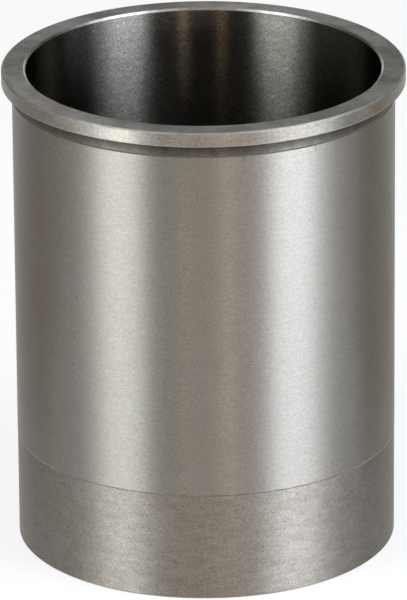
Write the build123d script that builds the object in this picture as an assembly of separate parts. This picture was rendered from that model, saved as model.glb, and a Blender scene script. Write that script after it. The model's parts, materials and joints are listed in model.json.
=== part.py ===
"""Dry cylinder liner: one turned, ground and honed cast-iron sleeve.

The whole liner is one solid of revolution about +Z.  It stands on its skirt
end with the origin at the centre of that end, and the flange is at the top.
Lengths are millimetres.
"""
from build123d import *
import os

# Driving dimensions
BORE_DIAMETER = 92.0        # honed running surface for the piston
OVERALL_LENGTH = 128.4      # foot to deck face
BODY_WALL = 3.5             # ground body, from the bore outwards
FLANGE_PROJECTION = 2.7     # how far the flange stands out past the body
FLANGE_THICKNESS = 3.8      # deck face to the seat under the flange
GROOVE_WIDTH = 3.7          # grinding relief, straight below the flange
GROOVE_DEPTH = 0.35         # cut into the ground body
GROOVE_ROOT_RADIUS = 0.2    # nose of the grooving tool
SKIRT_LENGTH = 28.6         # turned pilot at the foot
SKIRT_RELIEF = 0.05         # how far the pilot lies below the ground body
SKIRT_LEAD_LENGTH = 0.25    # short cone from the pilot up to the ground body
DECK_EDGE_BREAK = 0.4       # flange, outer top edge
SEAT_EDGE_BREAK = 0.2       # flange, outer lower edge
BORE_LEAD_CHAMFER = 0.5     # 45 degree lead-in for the piston rings
BORE_FOOT_CHAMFER = 0.5     # bore, at the foot
SKIRT_FOOT_CHAMFER = 0.4    # outside, at the foot

# Radii and heights that follow from them
BORE_RADIUS = BORE_DIAMETER / 2
BODY_RADIUS = BORE_RADIUS + BODY_WALL
FLANGE_RADIUS = BODY_RADIUS + FLANGE_PROJECTION
GROOVE_RADIUS = BODY_RADIUS - GROOVE_DEPTH
SKIRT_RADIUS = BODY_RADIUS - SKIRT_RELIEF
SEAT_Z = OVERALL_LENGTH - FLANGE_THICKNESS
GROOVE_FLOOR_START_Z = SEAT_Z - GROOVE_WIDTH
BODY_START_Z = SKIRT_LENGTH + SKIRT_LEAD_LENGTH


def foot_points():
    """Points (radius, height) of the foot, from the bore out to the skirt."""
    return [
        (BORE_RADIUS, BORE_FOOT_CHAMFER),
        (BORE_RADIUS + BORE_FOOT_CHAMFER, 0),
        (SKIRT_RADIUS - SKIRT_FOOT_CHAMFER, 0),
        (SKIRT_RADIUS, SKIRT_FOOT_CHAMFER),
    ]


def outside_points():
    """Points up the outside: skirt, lead cone, ground body and relief groove."""
    return [
        (SKIRT_RADIUS, SKIRT_LENGTH),
        (BODY_RADIUS, BODY_START_Z),
        (BODY_RADIUS, GROOVE_FLOOR_START_Z),
        (GROOVE_RADIUS, GROOVE_FLOOR_START_Z),
        (GROOVE_RADIUS, SEAT_Z),
    ]


def flange_points():
    """Points round the flange, from its seat over the deck face to the bore."""
    return [
        (FLANGE_RADIUS - SEAT_EDGE_BREAK, SEAT_Z),
        (FLANGE_RADIUS, SEAT_Z + SEAT_EDGE_BREAK),
        (FLANGE_RADIUS, OVERALL_LENGTH - DECK_EDGE_BREAK),
        (FLANGE_RADIUS - DECK_EDGE_BREAK, OVERALL_LENGTH),
        (BORE_RADIUS + BORE_LEAD_CHAMFER, OVERALL_LENGTH),
        (BORE_RADIUS, OVERALL_LENGTH - BORE_LEAD_CHAMFER),
    ]


def wall_section():
    """Closed section of the wall on the XZ plane, with the groove's roots rounded."""
    with BuildSketch(Plane.XZ) as section:
        with BuildLine():
            Polyline(*foot_points(), *outside_points(), *flange_points(), close=True)
        make_face()
        groove_roots = [
            corner
            for corner in section.vertices()
            if abs(corner.X - GROOVE_RADIUS) < GROOVE_DEPTH / 2
            and GROOVE_FLOOR_START_Z <= round(corner.Z, 6) <= SEAT_Z
        ]
        # the lower root is limited by the groove's shallow lower wall
        fillet(groove_roots, radius=min(GROOVE_ROOT_RADIUS, 0.8 * GROOVE_DEPTH))
    return section.sketch


def cylinder_liner():
    """The liner: its wall section turned once about the bore axis."""
    return revolve(wall_section(), axis=Axis.Z, revolution_arc=360)


os.makedirs("parts", exist_ok=True)
liner = cylinder_liner()
liner.label = "cylinder_liner"
export_step(liner, "parts/cylinder_liner.step")
print(f"cylinder_liner: {liner.volume / 1000:.1f} cm3, box {liner.bounding_box().size}")
print(f"outside diameters: flange {2 * FLANGE_RADIUS:.2f}, body {2 * BODY_RADIUS:.2f},"
      f" skirt {2 * SKIRT_RADIUS:.2f}")
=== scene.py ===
# %% [markdown]
# # A cylinder liner
#
# A cylinder liner is the replaceable inside of an engine's cylinder: a thin sleeve of grey
# cast iron.  It is turned on a lathe, ground outside so that it grips the block, honed inside
# so that it holds oil for the piston rings, and faced on top where the gasket seals it.  Each
# of those tools leaves a finish of its own.  The shape is simple, so the work is in its edges,
# in its eleven finishes, and in what stands round the metal for it to mirror.
#
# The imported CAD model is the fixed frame.

import json
import math

import bpy
import numpy as np
from mathutils import Matrix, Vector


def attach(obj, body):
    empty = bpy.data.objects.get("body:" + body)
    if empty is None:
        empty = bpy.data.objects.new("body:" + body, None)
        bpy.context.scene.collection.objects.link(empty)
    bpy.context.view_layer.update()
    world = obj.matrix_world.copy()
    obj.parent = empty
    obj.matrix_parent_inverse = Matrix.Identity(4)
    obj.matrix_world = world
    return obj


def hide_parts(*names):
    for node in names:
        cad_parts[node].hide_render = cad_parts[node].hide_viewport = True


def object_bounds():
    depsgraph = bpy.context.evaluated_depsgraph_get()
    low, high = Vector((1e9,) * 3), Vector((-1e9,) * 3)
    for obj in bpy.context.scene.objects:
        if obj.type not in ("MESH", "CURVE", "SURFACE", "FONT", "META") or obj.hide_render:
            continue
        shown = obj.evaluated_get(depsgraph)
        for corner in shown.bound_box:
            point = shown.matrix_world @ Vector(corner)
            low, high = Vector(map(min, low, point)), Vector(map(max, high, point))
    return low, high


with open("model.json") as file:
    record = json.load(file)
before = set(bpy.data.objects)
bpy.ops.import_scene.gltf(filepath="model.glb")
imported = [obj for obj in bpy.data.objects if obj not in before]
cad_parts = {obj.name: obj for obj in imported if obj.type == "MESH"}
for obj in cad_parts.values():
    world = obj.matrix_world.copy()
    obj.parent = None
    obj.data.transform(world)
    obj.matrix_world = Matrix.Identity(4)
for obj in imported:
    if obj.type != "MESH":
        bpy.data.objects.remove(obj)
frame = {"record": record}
cad_low, cad_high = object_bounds()
print("CAD box in metres:", [round(side, 5) for side in cad_high - cad_low])

# %% [markdown]
# ## Sizes
#
# The radii and the heights of the deck and the seat come from the frame, because the record's
# mounts state them.  The small cuts that no mount states are written here in millimetres, as
# they would be on the maker's drawing.

# %% Sizes of the turned profile
MM = 0.001
MOUNTS = {mount["name"]: mount for mount in frame["record"]["mounts"]}

BORE_R = MOUNTS["bore"]["dims"]["r_mm"] * MM
BODY_R = MOUNTS["outside"]["dims"]["r_mm"] * MM
FLANGE_R = MOUNTS["flange_od"]["dims"]["r_mm"] * MM
SEAT_Z = MOUNTS["flange_seat"]["pos_m"][2]
DECK_Z = cad_high.z

GROOVE_WIDTH = 3.7 * MM
GROOVE_DEPTH = 0.35 * MM
SKIRT_LENGTH = 28.6 * MM
SKIRT_RELIEF = 0.05 * MM
SKIRT_LEAD = 0.25 * MM
DECK_BREAK = 0.4 * MM
SEAT_BREAK = 0.2 * MM
BORE_CHAMFER = 0.5 * MM
SKIRT_CHAMFER = 0.4 * MM

SKIRT_R = BODY_R - SKIRT_RELIEF
GROOVE_R = BODY_R - GROOVE_DEPTH
GROOVE_Z = SEAT_Z - GROOVE_WIDTH
print("radii in mm:", [round(r / MM, 2) for r in (BORE_R, GROOVE_R, SKIRT_R, BODY_R, FLANGE_R)])

# %% [markdown]
# ## The wall's section
#
# The real liner is one turned piece, so the whole surface is one closed outline of the wall
# carried round the axis.  It could be a stack of cylinders with a Bevel modifier.  Here the
# outline is worked out with true arcs instead, because a machined edge is a tiny round of a
# known size, and the line of light on it is most of what shows an edge.
#
# Each corner has a radius, a height, a rounding, and the finish of the wall that follows it.
# The corners run round the section with the metal on the left: out along the foot, up the
# outside, in over the deck and down the bore.

# %% The corners and the finishes between them
FINISHES = ["plain_turned", "turned_skirt", "rusty_step", "ground_body", "dirty_ledge",
            "relief_groove", "flange_rim", "faced_deck", "broken_edge", "bore_lead", "honed_bore"]
CORNER_FINISHES = {"rusty_step", "broken_edge", "bore_lead"}   # these cover their corners too
SHARP = 0.03 * MM      # what deburring leaves of a machined corner
DEBURRED = 0.08 * MM   # an edge that was also broken by hand
TOOL_NOSE = 0.2 * MM   # the rounding in the roots of the relief groove

CORNERS = [
    (BORE_R + BORE_CHAMFER, 0.0, DEBURRED, "plain_turned"),
    (SKIRT_R - SKIRT_CHAMFER, 0.0, DEBURRED, "plain_turned"),
    (SKIRT_R, SKIRT_CHAMFER, DEBURRED, "turned_skirt"),
    (SKIRT_R, SKIRT_LENGTH, SHARP, "rusty_step"),
    (BODY_R, SKIRT_LENGTH + SKIRT_LEAD, SHARP, "ground_body"),
    (BODY_R, GROOVE_Z, SHARP, "dirty_ledge"),
    (GROOVE_R, GROOVE_Z, TOOL_NOSE, "relief_groove"),
    (GROOVE_R, SEAT_Z, TOOL_NOSE, "plain_turned"),
    (FLANGE_R - SEAT_BREAK, SEAT_Z, SHARP, "broken_edge"),
    (FLANGE_R, SEAT_Z + SEAT_BREAK, DEBURRED, "flange_rim"),
    (FLANGE_R, DECK_Z - DECK_BREAK, DEBURRED, "broken_edge"),
    (FLANGE_R - DECK_BREAK, DECK_Z, DEBURRED, "faced_deck"),
    (BORE_R + BORE_CHAMFER, DECK_Z, DEBURRED, "bore_lead"),
    (BORE_R, DECK_Z - BORE_CHAMFER, DEBURRED, "honed_bore"),
    (BORE_R, BORE_CHAMFER, DEBURRED, "plain_turned"),
]
print(len(CORNERS), "corners and", len(FINISHES), "finishes")

# %% Round the corners
ARC_STEPS = 5                # spans along the arc of each corner
RUN_SPACING = 3.0 * MM       # longest span along a straight wall


def rounded_section(corners):
    """The outline of the wall: its points, their outward normals, and each span's finish.

    A corner of turn a and rounding r starts its arc r * tan(a / 2) before the corner and
    ends it as far after.  The normal turns evenly along the arc, and the arc's point is its
    centre plus r times the normal where the section is convex, or minus it in a root.
    """
    at = np.array([corner[:2] for corner in corners])
    rounding = np.array([corner[2] for corner in corners])
    ahead = np.roll(at, -1, axis=0) - at
    ahead /= np.linalg.norm(ahead, axis=1, keepdims=True)
    behind = np.roll(ahead, 1, axis=0)
    turn = np.arctan2(behind[:, 0] * ahead[:, 1] - behind[:, 1] * ahead[:, 0],
                      (behind * ahead).sum(1))
    start = at - behind * (rounding * np.tan(abs(turn) / 2))[:, None]

    share = np.linspace(0, 1, ARC_STEPS + 1)
    angle = np.arctan2(-behind[:, 0], behind[:, 1])[:, None] + turn[:, None] * share
    normals = np.stack([np.cos(angle), np.sin(angle)], axis=2)
    reach = (np.sign(turn) * rounding)[:, None, None]
    arcs = start[:, None] + reach * (normals - normals[:, :1])

    points, facing, finish = [], [], []
    for this, corner in enumerate(corners):
        gap = arcs[(this + 1) % len(corners), 0] - arcs[this, -1]
        spans = max(1, math.ceil(np.linalg.norm(gap) / RUN_SPACING))
        run = arcs[this, -1] + gap * (np.arange(1, spans) / spans)[:, None]
        points += [arcs[this], run]
        facing += [normals[this], np.repeat(normals[this, -1:], spans - 1, axis=0)]
        arc_finish = corner[3] if corner[3] in CORNER_FINISHES else corners[this - 1][3]
        finish += [arc_finish] * ARC_STEPS + [corner[3]] * spans
    return np.concatenate(points), np.concatenate(facing), np.array(finish)


section, section_normals, span_finish = rounded_section(CORNERS)
print(len(section), "points round the section of the wall")

# %% [markdown]
# ## One turn round the axis
#
# The surface is a function of two parameters: how far round the axis, and how far along the
# outline.  It closes on itself both ways, so it has no pole and no open edge.
#
# Its UV map is the wall unrolled.  U is the share of a turn, and V is the way along the
# outline, so the map is one rectangle of nearly the surface's own proportions.  It bears
# the name given in UNROLLED_MAP.

# %% Turn the section into a mesh
TURN_STEPS = 480
UNROLLED_MAP = "OFBake"


def turned(outline, outline_normals, steps):
    """Points and normals of the outline at each step of a turn, as (steps, outline, 3).

    x = r cos t, y = r sin t and z = height, and a normal turns in the same way.
    """
    t = np.arange(steps)[:, None] * (2 * np.pi / steps)

    def carried(pair):
        return np.stack([pair[:, 0] * np.cos(t), pair[:, 0] * np.sin(t),
                         np.broadcast_to(pair[:, 1], (steps, len(pair)))], axis=2)

    return carried(outline), carried(outline_normals)


def ring_faces(steps, around):
    """Four-cornered faces between neighbours of a grid that closes both ways."""
    i, j = np.meshgrid(np.arange(steps), np.arange(around), indexing="ij")
    i_next, j_next = (i + 1) % steps, (j + 1) % around
    corners = [i * around + j, i_next * around + j, i_next * around + j_next, i * around + j_next]
    return np.stack(corners, axis=2).reshape(-1, 4)


def unrolled(outline, steps):
    """Each face corner's place on the map: share of the turn, share of the way along."""
    spans = np.linalg.norm(np.roll(outline, -1, axis=0) - outline, axis=1)
    along = np.concatenate([[0], np.cumsum(spans)]) / spans.sum()
    i, j = np.meshgrid(np.arange(steps), np.arange(len(outline)), indexing="ij")
    u = np.stack([i, i + 1, i + 1, i], axis=2) / steps
    v = along[np.stack([j, j, j + 1, j + 1], axis=2)]
    return np.stack([u, v], axis=3)


def turned_piece(name, outline, outline_normals, finishes):
    """A piece whose surface is the outline carried once round the axis."""
    points, normals = turned(outline, outline_normals, TURN_STEPS)
    mesh = bpy.data.meshes.new(name)
    mesh.from_pydata(points.reshape(-1, 3), [], ring_faces(TURN_STEPS, len(outline)))
    mesh.uv_layers.new(name=UNROLLED_MAP).uv.foreach_set(
        "vector", unrolled(outline, TURN_STEPS).astype(np.float32).ravel())
    index = np.array([FINISHES.index(finish) for finish in finishes], np.int32)
    mesh.polygons.foreach_set("material_index", np.tile(index, TURN_STEPS))
    mesh.polygons.foreach_set("use_smooth", np.ones(len(mesh.polygons), bool))
    mesh.normals_split_custom_set_from_vertices(normals.reshape(-1, 3))
    piece = bpy.data.objects.new(name, mesh)
    bpy.context.scene.collection.objects.link(piece)
    return piece


liner = turned_piece("machined_liner", section, section_normals, span_finish)
print("machined_liner:", 2 * len(liner.data.polygons), "triangles")

# %% [markdown]
# ## Writing a material as an expression
#
# A material here is a formula: this colour times one minus that mask.  The small class below
# wraps a socket, so that Python's own signs add the Math nodes.  Everything else, from a noise
# to the shader, comes from one method that sets a node's settings and then its sockets.

# %% Sockets that can be added and multiplied
class Value:
    """What comes out of a node.  Arithmetic on it adds a Math node and gives its output."""

    def __init__(self, tree, socket):
        self.tree = tree
        self.socket = socket

    def beside(self, output):
        """Another output of the same node."""
        return Value(self.tree, self.socket.node.outputs[output])

    def maths(self, operation, *numbers):
        """A Math node that does this to the numbers, in their order."""
        return self.tree.node("Math", {"operation": operation}, dict(enumerate(numbers)))

    def __add__(self, other):
        return self.maths("ADD", self, other)

    def __sub__(self, other):
        return self.maths("SUBTRACT", self, other)

    def __rsub__(self, other):
        return self.maths("SUBTRACT", other, self)

    def __mul__(self, other):
        return self.maths("MULTIPLY", self, other)

    def __truediv__(self, other):
        return self.maths("DIVIDE", self, other)

    def __pow__(self, other):
        return self.maths("POWER", self, other)

    __radd__ = __add__
    __rmul__ = __mul__

    def ramp(self, low, high):
        """0 at low, 1 at high, and a smooth step between them."""
        return self.tree.node("MapRange", {"interpolation_type": "SMOOTHSTEP"},
                              {"Value": self, "From Min": low, "From Max": high})

    def swing(self, amount):
        """1 plus amount times how far this value lies from 0.5, the middle of a noise."""
        return 1 + amount * (self - 0.5)


# %% One way to add any node
class Tree:
    """The nodes of a material or of the world."""

    def __init__(self, owner):
        self.owner = owner
        owner.use_nodes = True
        owner.node_tree.nodes.clear()

    def node(self, kind, settings=None, inputs=None, output=0):
        """Adds a node: its settings first, then a value or a link for each socket named."""
        made = self.owner.node_tree.nodes.new("ShaderNode" + kind)
        for name, setting in (settings or {}).items():
            setattr(made, name, setting)
        for key, given in (inputs or {}).items():
            if isinstance(given, Value):
                self.owner.node_tree.links.new(given.socket, made.inputs[key])
            else:
                made.inputs[key].default_value = given
        return Value(self, made.outputs[output])

    def surface(self, shader):
        """Ends the tree with that shader, and prints how large the tree became."""
        kind = "OutputWorld" if isinstance(self.owner, bpy.types.World) else "OutputMaterial"
        made = self.owner.node_tree.nodes.new("ShaderNode" + kind)
        self.owner.node_tree.links.new(shader.socket, made.inputs["Surface"])
        print(self.owner.name, "has", len(self.owner.node_tree.nodes), "nodes")


# %% The coordinates and patterns that every finish uses
MIX_SHARE, MIX_FIRST, MIX_SECOND, MIX_RESULT = 0, 6, 7, 2   # the Mix node's sockets for colours
QUARTER_TURN = 0.25     # the shader counts the rotation of its grain in turns


class Finish(Tree):
    """The material of one finish, under construction."""

    def __init__(self, name):
        super().__init__(bpy.data.materials.new(name))
        self.place = self.node("TexCoord", output="Object")
        self.x = self.node("SeparateXYZ", inputs={0: self.place})
        self.y, self.z = self.x.beside("Y"), self.x.beside("Z")
        self.radius = (self.x ** 2 + self.y ** 2) ** 0.5

    def vector(self, operation, first, second):
        """A Vector Math node that does this to two vectors."""
        return self.node("VectorMath", {"operation": operation}, {0: first, 1: second})

    def ringed(self, across, around):
        """Coordinates for tool marks: that fine across the marks, that long round the axis.

        Height plus radius grows across the marks on every turned wall, upright or flat.
        """
        return self.node("CombineXYZ", inputs={"X": self.x / around, "Y": self.y / around,
                                               "Z": (self.z + self.radius) / across})

    def noise(self, size=None, on=None, detail=2.0, rough=0.5):
        """Soft noise about 0.5, with features of that size, or on the coordinates given."""
        inputs = {"Vector": on or self.place, "Scale": 1 / size if size else 1.0,
                  "Detail": detail, "Roughness": rough}
        return self.node("TexNoise", inputs=inputs)

    def blend(self, share, first, second):
        """The first colour where share is 0, and the second where it is 1."""
        first, second = ((*colour, 1) if isinstance(colour, tuple) else colour
                         for colour in (first, second))
        return self.node("Mix", {"data_type": "RGBA"},
                         {MIX_SHARE: share, MIX_FIRST: first, MIX_SECOND: second},
                         output=MIX_RESULT)

    def shaded(self, colour, amount):
        """The colour made that many times as bright."""
        return self.node("VectorMath", {"operation": "SCALE"}, {"Vector": colour, "Scale": amount})

    def metal(self, colour, roughness, height, depth, grain, bare=1.0, glancing=1.0):
        """Ends the finish with metal, bumped to that depth, with that much grain.

        Grain spreads a highlight across the tool marks.  The tangent runs round the axis by
        default, as the marks do, so the spread needs a quarter turn from it.  Bare is the
        share of clean metal, and the rest is dull.  Glancing is how bright the mirror stays
        where light only grazes it, and a film of oil dims it there.
        """
        normal = self.node("Bump", inputs={"Height": height, "Distance": depth})
        self.surface(self.node("BsdfPrincipled", inputs={
            "Base Color": colour, "Roughness": roughness, "Metallic": bare, "Normal": normal,
            "Specular Tint": (glancing, glancing, glancing, 1),
            "Anisotropic": grain, "Anisotropic Rotation": QUARTER_TURN}))


# %% [markdown]
# ## The colours of the iron
#
# Freshly cut grey iron is a nearly neutral grey.  In the air it soon takes on a thin brown
# tarnish, and real rust starts where water stays.  The outer walls mix clean and tarnished
# iron, each in its own pattern, and so stay one piece of metal.  The other finishes bring
# shades of their own.

# %% Clean, tarnished and rusty iron
IRON = (0.268, 0.253, 0.231)
TARNISH = (0.240, 0.208, 0.178)
RUST = (0.150, 0.092, 0.055)
print("share of red light kept:", IRON[0], TARNISH[0], RUST[0])

# %% [markdown]
# ## Small stains
#
# Rust and dried oil sit in a few places of their own, and not all over.  They could be small
# faces laid over the wall, or painted by hand on the map.  Here a stain is a mask: the distance
# from its middle, counted in its own half sizes, so that a drip can be tall and narrow.  The
# brighter and duller places of the rim and the deck, partly wear and partly painted light and
# shade, are masks of the same kind.

# %% The mask of one stain
def spot(finish, azimuth, radius, height, across, tall):
    """1 at that place on the wall, fading to 0 at an ellipse of those half sizes round it.

    Azimuth 0 is the camera's side and grows to the right.
    """
    turn = math.radians(azimuth)
    middle = (radius * math.sin(turn), -radius * math.cos(turn), height)
    away = finish.vector("SUBTRACT", finish.place, middle)
    shares = finish.vector("DIVIDE", away, (across, across, tall))
    distance = finish.node("VectorMath", {"operation": "LENGTH"}, {"Vector": shares},
                           output="Value")
    return distance.ramp(1, 0)


# %% [markdown]
# ## The ground body
#
# The long middle of the liner is ground to its press fit.  The wheel leaves scratches finer
# than a hair, side by side round the axis, and together they act as a grain: a lamp's
# reflection is smeared into a tall streak, while it stays narrow round the wall.  The shader's
# anisotropy makes just that, with no scratch modelled.
#
# What the eye still sees of the scratches is a fine, lively sparkle.  It is noise drawn out
# round the axis, in two sizes, with faint clouds of tarnish over it.  Two small drips of rust
# have run down from the groove.

# %% Ground body
body = Finish("ground_body")
grain = body.noise(on=body.ringed(across=0.40 * MM, around=0.75 * MM))
dashes = body.noise(on=body.ringed(across=0.9 * MM, around=4 * MM))
clouds = body.noise(size=13 * MM)
drips = (spot(body, 11.7, BODY_R, GROOVE_Z - 0.3 * MM, across=0.8 * MM, tall=1.3 * MM)
         + spot(body, 34.8, BODY_R, GROOVE_Z - 0.6 * MM, across=0.6 * MM, tall=1.8 * MM))
iron = body.blend(0.4 * clouds, IRON, TARNISH)
iron = body.blend(0.55 * drips * (0.5 + grain), iron, RUST)
body.metal(body.shaded(iron, grain.swing(0.62) * dashes.swing(0.16) * clouds.swing(0.1)),
           roughness=0.45 * clouds.swing(0.13), height=grain, depth=0.004 * MM, grain=0.93)

# %% [markdown]
# ## The turned skirt
#
# The foot of the liner is turned and never ground.  The tool tears tiny flakes of graphite out
# of the iron, so the skirt is duller and freckled with open pores, and it tarnishes more.  The
# pores could be dents in the mesh, but at 0.4 mm there would be tens of thousands.  Here the
# lowest valleys of a noise become dark pits, in the colour and in the bump together.

# %% Turned skirt
skirt = Finish("turned_skirt")
grain = skirt.noise(on=skirt.ringed(across=0.38 * MM, around=0.6 * MM))
smears = skirt.noise(on=skirt.ringed(across=1.6 * MM, around=5 * MM), detail=4, rough=0.6)
pores = skirt.noise(size=0.36 * MM, detail=1).ramp(0.38, 0.27)
clouds = skirt.noise(size=7 * MM)
iron = skirt.blend(0.6 * clouds.swing(1.6), IRON, TARNISH)
skirt.metal(skirt.shaded(iron, grain.swing(0.95) * smears.swing(0.7) * (1 - 0.45 * pores)),
            roughness=0.49 * smears.swing(0.2), height=grain - pores, depth=0.012 * MM, grain=0.89)

# %% [markdown]
# ## The relief groove
#
# The groove under the flange is only there to let the grinding wheel run out.  Nobody cleans
# it, so it holds oil, dirt and a little rust.  It is the darkest band on the outside, and a
# tenth of it is too dull to mirror anything.  Its colour also grows darker towards the
# flange, a painted shade of the overhang, so that mask follows the height.  Ochre stains
# break the band up.
#
# The narrow ledge at the groove's foot faces up.  Dirt gathers on it until no metal shows, so
# it gets a dull finish of its own.

# %% Relief groove
DIRTY_IRON = (0.134, 0.123, 0.108)
OILY_IRON = (0.114, 0.096, 0.076)
OCHRE = (0.142, 0.119, 0.070)

groove = Finish("relief_groove")
grain = groove.noise(on=groove.ringed(across=0.4 * MM, around=0.9 * MM))
blotches = groove.noise(size=2.2 * MM, detail=3)
# painted shade: the colour darkens towards the overhanging flange
painted_flange_shade = groove.z.ramp(GROOVE_Z - 0.5 * MM, SEAT_Z - 0.8 * MM)
stains = (spot(groove, 3.0, GROOVE_R, SEAT_Z - 1.4 * MM, across=1.6 * MM, tall=1.2 * MM)
          + spot(groove, 27.5, GROOVE_R, SEAT_Z - 1.8 * MM, across=4.0 * MM, tall=1.4 * MM))
iron = groove.blend(groove.noise(size=5 * MM).ramp(0.4, 0.7), DIRTY_IRON, OILY_IRON)
iron = groove.blend(0.8 * stains * blotches.ramp(0.42, 0.6), iron, OCHRE)
groove.metal(groove.shaded(iron, grain.swing(0.9) * blotches.swing(0.9) * (1 - 0.55 * painted_flange_shade)),
             roughness=0.5, height=grain, depth=0.006 * MM, grain=0.9, bare=0.9)

# %% Dirty ledge at the groove's foot
LEDGE_DIRT = (0.076, 0.067, 0.056)

ledge = Finish("dirty_ledge")
crumbs = ledge.noise(size=0.5 * MM, detail=3)
ledge.metal(ledge.shaded(LEDGE_DIRT, crumbs.swing(1.0)),
            roughness=0.8, height=crumbs, depth=0.01 * MM, grain=0.0, bare=0.0)

# %% [markdown]
# ## The flange's rim
#
# The rim is turned to a free fit in the block, and it is what hands hold, so it is browner
# than the body and lightly pitted.  It is the body's recipe with a weaker grain: the coarser
# the marks, the rounder a highlight spreads.  Its colour is brighter in one place, where the
# left highlight falls, which is partly rubbed wear and partly painted highlight, and duller in
# another, where the right highlight ends, which is painted shade.

# %% Flange rim
rim = Finish("flange_rim")
grain = rim.noise(on=rim.ringed(across=0.4 * MM, around=0.8 * MM))
patches = rim.noise(on=rim.ringed(across=3 * MM, around=5 * MM)).ramp(0.4, 0.7)
pits = rim.noise(size=0.5 * MM, detail=1).ramp(0.34, 0.24)
# partly wear, partly painted light: brighter under the left highlight, painted shade where the
# right one ends
rubbed_and_painted_light = (spot(rim, -23, FLANGE_R, DECK_Z - 2 * MM, across=9 * MM, tall=5 * MM)
          - 0.6 * spot(rim, 44, FLANGE_R, DECK_Z - 2 * MM, across=8 * MM, tall=6 * MM))
iron = rim.blend(0.3 + 0.7 * patches, IRON, TARNISH)
rim.metal(rim.shaded(iron, grain.swing(0.9) * (1 - 0.4 * pits) * (1 + 0.5 * rubbed_and_painted_light)),
          roughness=0.44, height=grain, depth=0.004 * MM, grain=0.8)

# %% [markdown]
# ## The deck face
#
# The top is faced flat for the head gasket, and it reflects the room behind the liner rather
# than the lamps.  So it is an even grey, and what gives it life is handling: cloudy stains,
# dust, and places that are wiped cleaner or left duller.  Those places are partly handling and
# partly painted reflection and painted shade: brighter at the front left and at the back, duller
# near the front of the bore and on the right side.  The faint facing marks are rings, which the
# ringed coordinates give by themselves.
#
# Facing leaves the roughest metal of all.  Seen from behind, the deck mirrors the softboxes,
# and a smoother one would glare as white as the floor and lose its edges.

# %% Faced deck
WIPED_IRON = (0.316, 0.304, 0.285)
STAINED_IRON = (0.300, 0.274, 0.245)

deck = Finish("faced_deck")
grain = deck.noise(on=deck.ringed(across=0.35 * MM, around=1.5 * MM))
dust = deck.noise(size=0.5 * MM)
clouds = deck.noise(size=9 * MM, detail=4, rough=0.6).ramp(0.34, 0.66)
# partly handling, partly painted reflection and painted shade: brighter at the front left and
# back, duller near the bore and on the right
handling_and_painted_light = (spot(deck, -50, FLANGE_R, DECK_Z, across=16 * MM, tall=MM)
           + 0.7 * spot(deck, 168, FLANGE_R, DECK_Z, across=22 * MM, tall=MM)
           - spot(deck, -8, BORE_R, DECK_Z, across=14 * MM, tall=MM)
           - 0.6 * spot(deck, 85, FLANGE_R, DECK_Z, across=60 * MM, tall=MM))
iron = deck.blend(clouds, WIPED_IRON, STAINED_IRON)
deck.metal(deck.shaded(iron, grain.swing(0.35) * dust.swing(0.45) * clouds.swing(-0.36)
                       * (1 + 0.3 * handling_and_painted_light)),
           roughness=0.8, height=grain, depth=0.003 * MM, grain=0.0)

# %% [markdown]
# ## The honed bore
#
# A hone turns while it moves up and down, so its scratches climb the bore both ways and cross.
# The cross-hatch holds oil for the rings, and a hone makes the smoothest finish of all, which
# is why the bore is nearly black wherever no lamp reaches it.  The oil also takes away the
# glancing light that would fill those darks.
#
# A scratch is a helix.  If the whole pattern is turned about the axis in step with the height,
# a helix becomes an upright line, so plain noise stretched along Z is enough.  It is made once
# for each slant.

# %% Coordinates that follow the scratches of the hone
HONING_SLANT = 32                      # degrees from level
SCRATCH_WIDTH = 0.35 * MM
SCRATCH_LENGTH = 1.6 * MM


def honed(finish, slant):
    """Coordinates in scratches, for those that climb the bore at that slant.

    Turning each level by z / (r tan slant) brings every point of such a scratch to one x, y.
    """
    turn = finish.z / (BORE_R * math.tan(math.radians(slant)))
    upright = finish.node("VectorRotate", {"rotation_type": "Z_AXIS"},
                          {"Vector": finish.place, "Angle": turn})
    return finish.vector("DIVIDE", upright, (SCRATCH_WIDTH, SCRATCH_WIDTH, SCRATCH_LENGTH))


print("a scratch climbs", round(2 * math.pi * BORE_R * math.tan(math.radians(HONING_SLANT)), 3),
      "m in one turn")

# %% Honed bore
HONED_IRON = (0.190, 0.176, 0.156)

bore = Finish("honed_bore")
rising = bore.noise(on=honed(bore, HONING_SLANT))
falling = bore.noise(on=honed(bore, -HONING_SLANT))
hatch = 0.27 * (rising + falling) + 0.46 * bore.noise(size=0.40 * MM)
glints = hatch.ramp(0.5, 0.73)
free_of_painted_shade = bore.z.ramp(DECK_Z - 55 * MM, DECK_Z - 4 * MM)     # painted shade: the bore's colour darkens the deeper it goes
bore.metal(bore.shaded(HONED_IRON, (hatch.swing(2.6) + 0.9 * glints) * (0.55 + 0.45 * free_of_painted_shade)),
           roughness=0.32, height=hatch, depth=0.015 * MM, grain=1.0, glancing=0.1)

# %% [markdown]
# ## The foot and the seat
#
# Nobody looks at the foot with its two chamfers, or at the seat under the flange.  They are
# left as the lathe cut them, with long fine feed marks round the axis.

# %% Plain turned faces
FEED = 0.2 * MM

plain = Finish("plain_turned")
marks = plain.noise(on=plain.ringed(across=FEED, around=100 * FEED))
plain.metal(plain.shaded(plain.blend(0.5, IRON, TARNISH), marks.swing(0.7)),
            roughness=0.45, height=marks, depth=0.006 * MM, grain=0.6)

# %% [markdown]
# ## The broken edges and the lead-in
#
# The flange's edges are broken with a file.  They are partly dull, so that they draw a soft
# pale line round the deck and never a black one.  The bore's edge is cut to a clean cone that
# guides the rings in.  Its grain is nearly the bore's own, so its line is brightest above the
# bore's two streaks and dull between them.  Slow noise wears both unevenly.

# %% Broken edges
FILED_IRON = (0.345, 0.324, 0.300)

edge = Finish("broken_edge")
wear = edge.noise(size=2.5 * MM, detail=3)
edge.metal(edge.shaded(FILED_IRON, wear.swing(0.9)),
           roughness=0.46, height=wear, depth=0.002 * MM, grain=0.5, bare=0.8)

# %% Lead-in of the bore
BRIGHT_CUT = (0.72, 0.70, 0.67)

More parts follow.
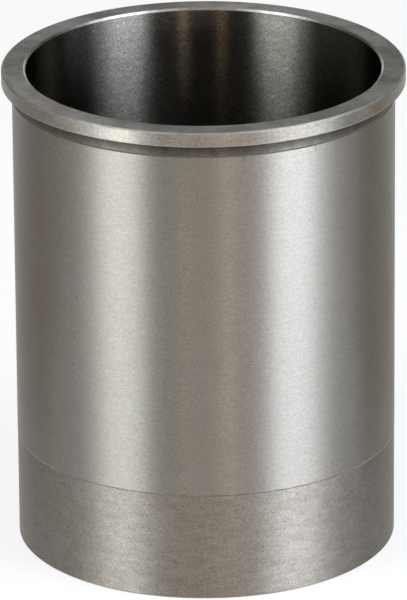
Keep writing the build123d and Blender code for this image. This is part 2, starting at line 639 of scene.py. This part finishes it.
lead = Finish("bore_lead")
wear = lead.noise(size=1.5 * MM, detail=3)
lead.metal(lead.shaded(BRIGHT_CUT, wear.swing(1.0)),
           roughness=0.48, height=wear, depth=0.002 * MM, grain=0.9)

# %% [markdown]
# ## The step above the skirt
#
# The step from the skirt up to the body is only 0.05 mm deep, a hair's thickness.  It shows
# because of what lies on it: rust has crept along its front and its back, and towards the
# sides the bare step catches the light.  Front and back are where the square of y is large, so
# the mask needs no angle.

# %% Rusty step
CLEAN_STEP = (0.30, 0.285, 0.26)
RUSTY_STEP = (0.140, 0.101, 0.074)

step = Finish("rusty_step")
rusty = ((step.y / BODY_R) ** 2).ramp(0.25, 0.6)
crumbs = step.noise(size=0.9 * MM).ramp(0.35, 0.6)
step.metal(step.blend(rusty * (0.55 + 0.45 * crumbs), CLEAN_STEP, RUSTY_STEP),
           roughness=0.5, height=crumbs, depth=0.01 * MM, grain=0.5)

# %% [markdown]
# ## Dressing the liner
#
# Each face already holds the number of its finish, so the materials are added in that order.
# The liner is one rigid body, and this mesh stands for the plain CAD node, which goes on
# colliding unseen.

# %% Dress the liner
for finish_name in FINISHES:
    liner.data.materials.append(bpy.data.materials[finish_name])
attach(liner, "root")
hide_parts("cylinder_liner")
print("machined_liner wears", len(liner.data.materials), "finishes")

# %% [markdown]
# ## The floor
#
# The floor is a wide sheet of white paper.  Real paper is about 0.8 bright, and under soft
# lamps it would come out pale grey.  Where the camera or the metal looks at it, part of the
# paper glows instead, so that it nears white and still keeps the shadow at the liner's foot.
# Soft light sees only the paper, so the glow adds nothing to the light on the liner.
#
# Inside the bore the paper lies at the bottom of a deep well.  There its glow is dimmed, and
# the mirror of the bore sees none of it.

# %% A flat panel, and the rays that look at it
def flat_panel(name, width, height):
    """A flat rectangle in its own XY plane, centred on the origin and facing +Z."""
    x, y = width / 2, height / 2
    mesh = bpy.data.meshes.new(name)
    mesh.from_pydata([(-x, -y, 0), (x, -y, 0), (x, y, 0), (-x, y, 0)], [], [(0, 1, 2, 3)])
    panel = bpy.data.objects.new(name, mesh)
    bpy.context.scene.collection.objects.link(panel)
    return panel


def looking(tree):
    """Two masks: 1 for a ray of the camera, and 1 for a ray of a mirror or a lens."""
    camera_ray = tree.node("LightPath", output="Is Camera Ray")
    glossy, through = camera_ray.beside("Is Glossy Ray"), camera_ray.beside("Is Transmission Ray")
    mirrored = glossy.maths("MAXIMUM", glossy, through)
    return camera_ray, mirrored * (1 - camera_ray)


# %% The floor
FLOOR_SIZE = 6.0
PAPER = (0.8, 0.8, 0.8, 1)
WHITE = (1, 1, 1, 1)
GLOWING_SHARE = 0.75
GLOW_IN_BORE = 0.3      # of the glow outside, and for the camera alone

floor = flat_panel("floor", FLOOR_SIZE, FLOOR_SIZE)
paper = Finish("floor_paper")
soft = paper.node("BsdfDiffuse", inputs={"Color": PAPER})
glow = paper.node("Emission", inputs={"Color": WHITE, "Strength": 1.0})
outside = paper.radius.ramp(BORE_R, BODY_R)
seen, mirrored = looking(paper)
glowing = seen * (GLOW_IN_BORE + (1 - GLOW_IN_BORE) * outside) + mirrored * outside
paper.surface(paper.node("MixShader", inputs={0: GLOWING_SHARE * glowing, 1: soft, 2: glow}))
floor.data.materials.append(paper.owner)

# %% [markdown]
# ## The world
#
# A white room surrounds the liner.  It fills the shadows at a moderate level, and looks fully
# white to the camera and in the metal, as a sweep of white paper behind a part does.

# %% The white room
SKY_LEVEL = 0.6

studio = Tree(bpy.data.worlds.new("studio"))
seen, mirrored = looking(studio)
studio.surface(studio.node("Background", inputs={
    "Color": WHITE, "Strength": SKY_LEVEL + (1 - SKY_LEVEL) * (seen + mirrored)}))
bpy.context.scene.world = studio.owner

# %% [markdown]
# ## Where things stand round the liner
#
# Bare metal has almost no colour of its own: it shows what stands round it.  An upright
# cylinder mirrors the room turned sideways, so a lamp 40 degrees to the side shows as a
# streak 20 degrees round the wall.  Lamps and cards are therefore given by the angles that they
# cover as seen from the liner, because those are what its mirror shows.

# %% Angles as seen from the liner
MIDDLE = (0, 0, DECK_Z / 2)
LAMP_DISTANCE = 1.0
CARD_DISTANCE = 1.2      # the cards stand behind the lamps


def covering(sides, heights, distance):
    """The pose and the size of a panel that covers those azimuths and elevations.

    Azimuth 0 is the camera's side and grows to the right.  The panel looks along its own -Z
    at the liner's middle, and the higher it stands, the narrower the same azimuths are.
    """
    azimuth, elevation = math.radians(sum(sides) / 2), math.radians(sum(heights) / 2)
    half_side, half_height = (math.radians(high - low) / 2 for low, high in (sides, heights))
    pose = (Matrix.Translation(MIDDLE) @ Matrix.Rotation(azimuth, 4, "Z")
            @ Matrix.Rotation(math.pi / 2 - elevation, 4, "X")
            @ Matrix.Translation((0, 0, distance)))
    width = 2 * distance * math.tan(half_side) * math.cos(elevation)
    return pose, width, 2 * distance * math.tan(half_height)


# %% [markdown]
# ## Softboxes
#
# A pair of softboxes stands at each front corner, one above the other, and makes one broad
# streak down the body.  Deep in the bore only the upper box of each pair shows past the rim.
# A tall panel looks wider near its top, so the upper boxes stop further out, and the streaks
# in the bore run straight down.
#
# Dimmer boxes further out let the streaks fade outwards, while they end sharply inwards.
# Between them lies a low, weak light, and two narrow strips of warm light, like gaps in a
# curtain, make the two thin brown lines near the middle.
#
# A lamp's energy is in watts.  A panel that looks as bright as a white page under plain light
# gives off pi watts for each square metre, so the brightness here is counted in such pages.

# %% Lamps
COOL = (0.915, 0.99, 1)
COOLER = (0.81, 0.9, 1)
AMBER = (1, 0.74, 0.48)
STRAW = (1, 0.82, 0.64)


def softbox(name, sides, heights, brightness, colour):
    """An area lamp that covers those angles, where brightness 1 is a white page."""
    pose, width, height = covering(sides, heights, LAMP_DISTANCE)
    lamp = bpy.data.lights.new(name, "AREA")
    lamp.shape = "RECTANGLE"
    lamp.size, lamp.size_y = width, height
    lamp.energy = brightness * math.pi * width * height
    lamp.color = colour
    made = bpy.data.objects.new(name, lamp)
    made.matrix_world = pose
    made.visible_camera = False
    bpy.context.scene.collection.objects.link(made)
    print(f"{name}: {width:.2f} by {height:.2f} m, {lamp.energy:.1f} W")


softbox("left_low", (-64, -34.5), (-2, 20), 7.0, COOL)
softbox("left_high", (-64, -42), (20, 46), 7.5, COOL)
softbox("left_edge", (-76, -64), (-2, 46), 1.6, COOL)
softbox("left_spill", (-106, -76), (-2, 20), 0.6, COOL)
softbox("right_low", (36.5, 67), (-2, 20), 9.9, COOLER)
softbox("right_high", (43, 67), (20, 44), 10.5, COOLER)
softbox("right_edge", (67, 78), (-2, 44), 3.8, COOLER)
softbox("right_spill", (78, 101), (-2, 20), 1.4, COOLER)
softbox("front_fill", (-10, 36.5), (-2, 8), 2.2, STRAW)
softbox("left_strip", (-13, -11), (-2, 24), 7.0, AMBER)
softbox("right_strip", (12, 14), (-2, 20), 13.0, STRAW)

# %% [markdown]
# ## Dark cards and flags
#
# In a room that is white all round, metal looks like white plastic.  With dark cards round it,
# the metal turns dark where it mirrors them: that is the whole contrast of the wall.  One card
# is at the front, between the softboxes, one on each side, and one behind, high up, for the
# inside of the bore.  A grey one hangs over the camera and dims the lead-in.
#
# The metal also mirrors the floor.  Two brown-grey sheets lie on it, to the left and right
# behind the liner, and shade the flanks of the wall.  Cards and sheets are seen by mirrors
# alone: the camera, soft light and shadows pass them by.

# %% Cards
DULL = (0.045, 0.040, 0.033)
GREY = (0.22, 0.21, 0.20)


def painted(panel, shade):
    """Gives the panel a flat shade that only the mirror of the metal sees."""
    panel.visible_camera = False
    panel.visible_diffuse = False
    panel.visible_shadow = False
    paint = Tree(bpy.data.materials.new(panel.name + "_paint"))
    paint.surface(paint.node("Emission", inputs={"Color": (*shade, 1), "Strength": 1.0}))
    panel.data.materials.append(paint.owner)


def card(name, sides, heights, shade):
    """A card that covers those angles, behind the lamps."""
    pose, width, height = covering(sides, heights, CARD_DISTANCE)
    panel = flat_panel(name, width, height)
    panel.data.transform(pose)
    painted(panel, shade)


card("front_card", (-42, 44.5), (8, 56), DULL)
card("left_card", (-165, -65), (-2, 70), DULL)
card("right_card", (65, 165), (-2, 70), DULL)
card("back_card", (132, 228), (32, 80), DULL)
card("grey_card", (-60, 24), (57, 85), GREY)

# %% Flags on the floor
FLAG_PAINT = (0.72, 0.66, 0.57)
FLAG_SIZE = (0.7, 0.21)
FLAG_OUT, FLAG_BACK = 0.46, 0.105     # where the middle of each lies
PAPER_GAP = 0.0005

for name, side in (("left_flag", -1), ("right_flag", 1)):
    flag = flat_panel(name, *FLAG_SIZE)
    flag.data.transform(Matrix.Translation((side * FLAG_OUT, FLAG_BACK, PAPER_GAP)))
    painted(flag, FLAG_PAINT)

# %% [markdown]
# ## The camera
#
# The camera stands nearly two metres away with a long lens, so the cylinder's sides stay almost
# parallel.  It looks down by 21 degrees, which opens the top into an ellipse, and it leans by
# less than half a degree.

# %% The camera
CAMERA_AT = (0.0, -1.72588, 0.72768)
CAMERA_LENS, SENSOR = 424.9, 36.0      # millimetres
NEAREST, FURTHEST = 0.05, 50.0         # the range it shows, in metres
LOOKS_DOWN, LEANS, TURNS = (math.radians(angle) for angle in (21.0466, 0.4370, 0.0138))

lens = bpy.data.cameras.new("camera")
lens.sensor_width = SENSOR
lens.lens = CAMERA_LENS
lens.clip_start, lens.clip_end = NEAREST, FURTHEST
camera = bpy.data.objects.new("camera", lens)
camera.matrix_world = (Matrix.Translation(CAMERA_AT) @ Matrix.Rotation(TURNS, 4, "Z")
                       @ Matrix.Rotation(math.pi / 2 - LOOKS_DOWN, 4, "X")
                       @ Matrix.Rotation(-LEANS, 4, "Z"))
bpy.context.scene.collection.objects.link(camera)
bpy.context.scene.camera = camera
bpy.context.scene.view_settings.view_transform = "Standard"
print("camera", round(math.dist(CAMERA_AT, MIDDLE), 2), "m from the middle of the liner")
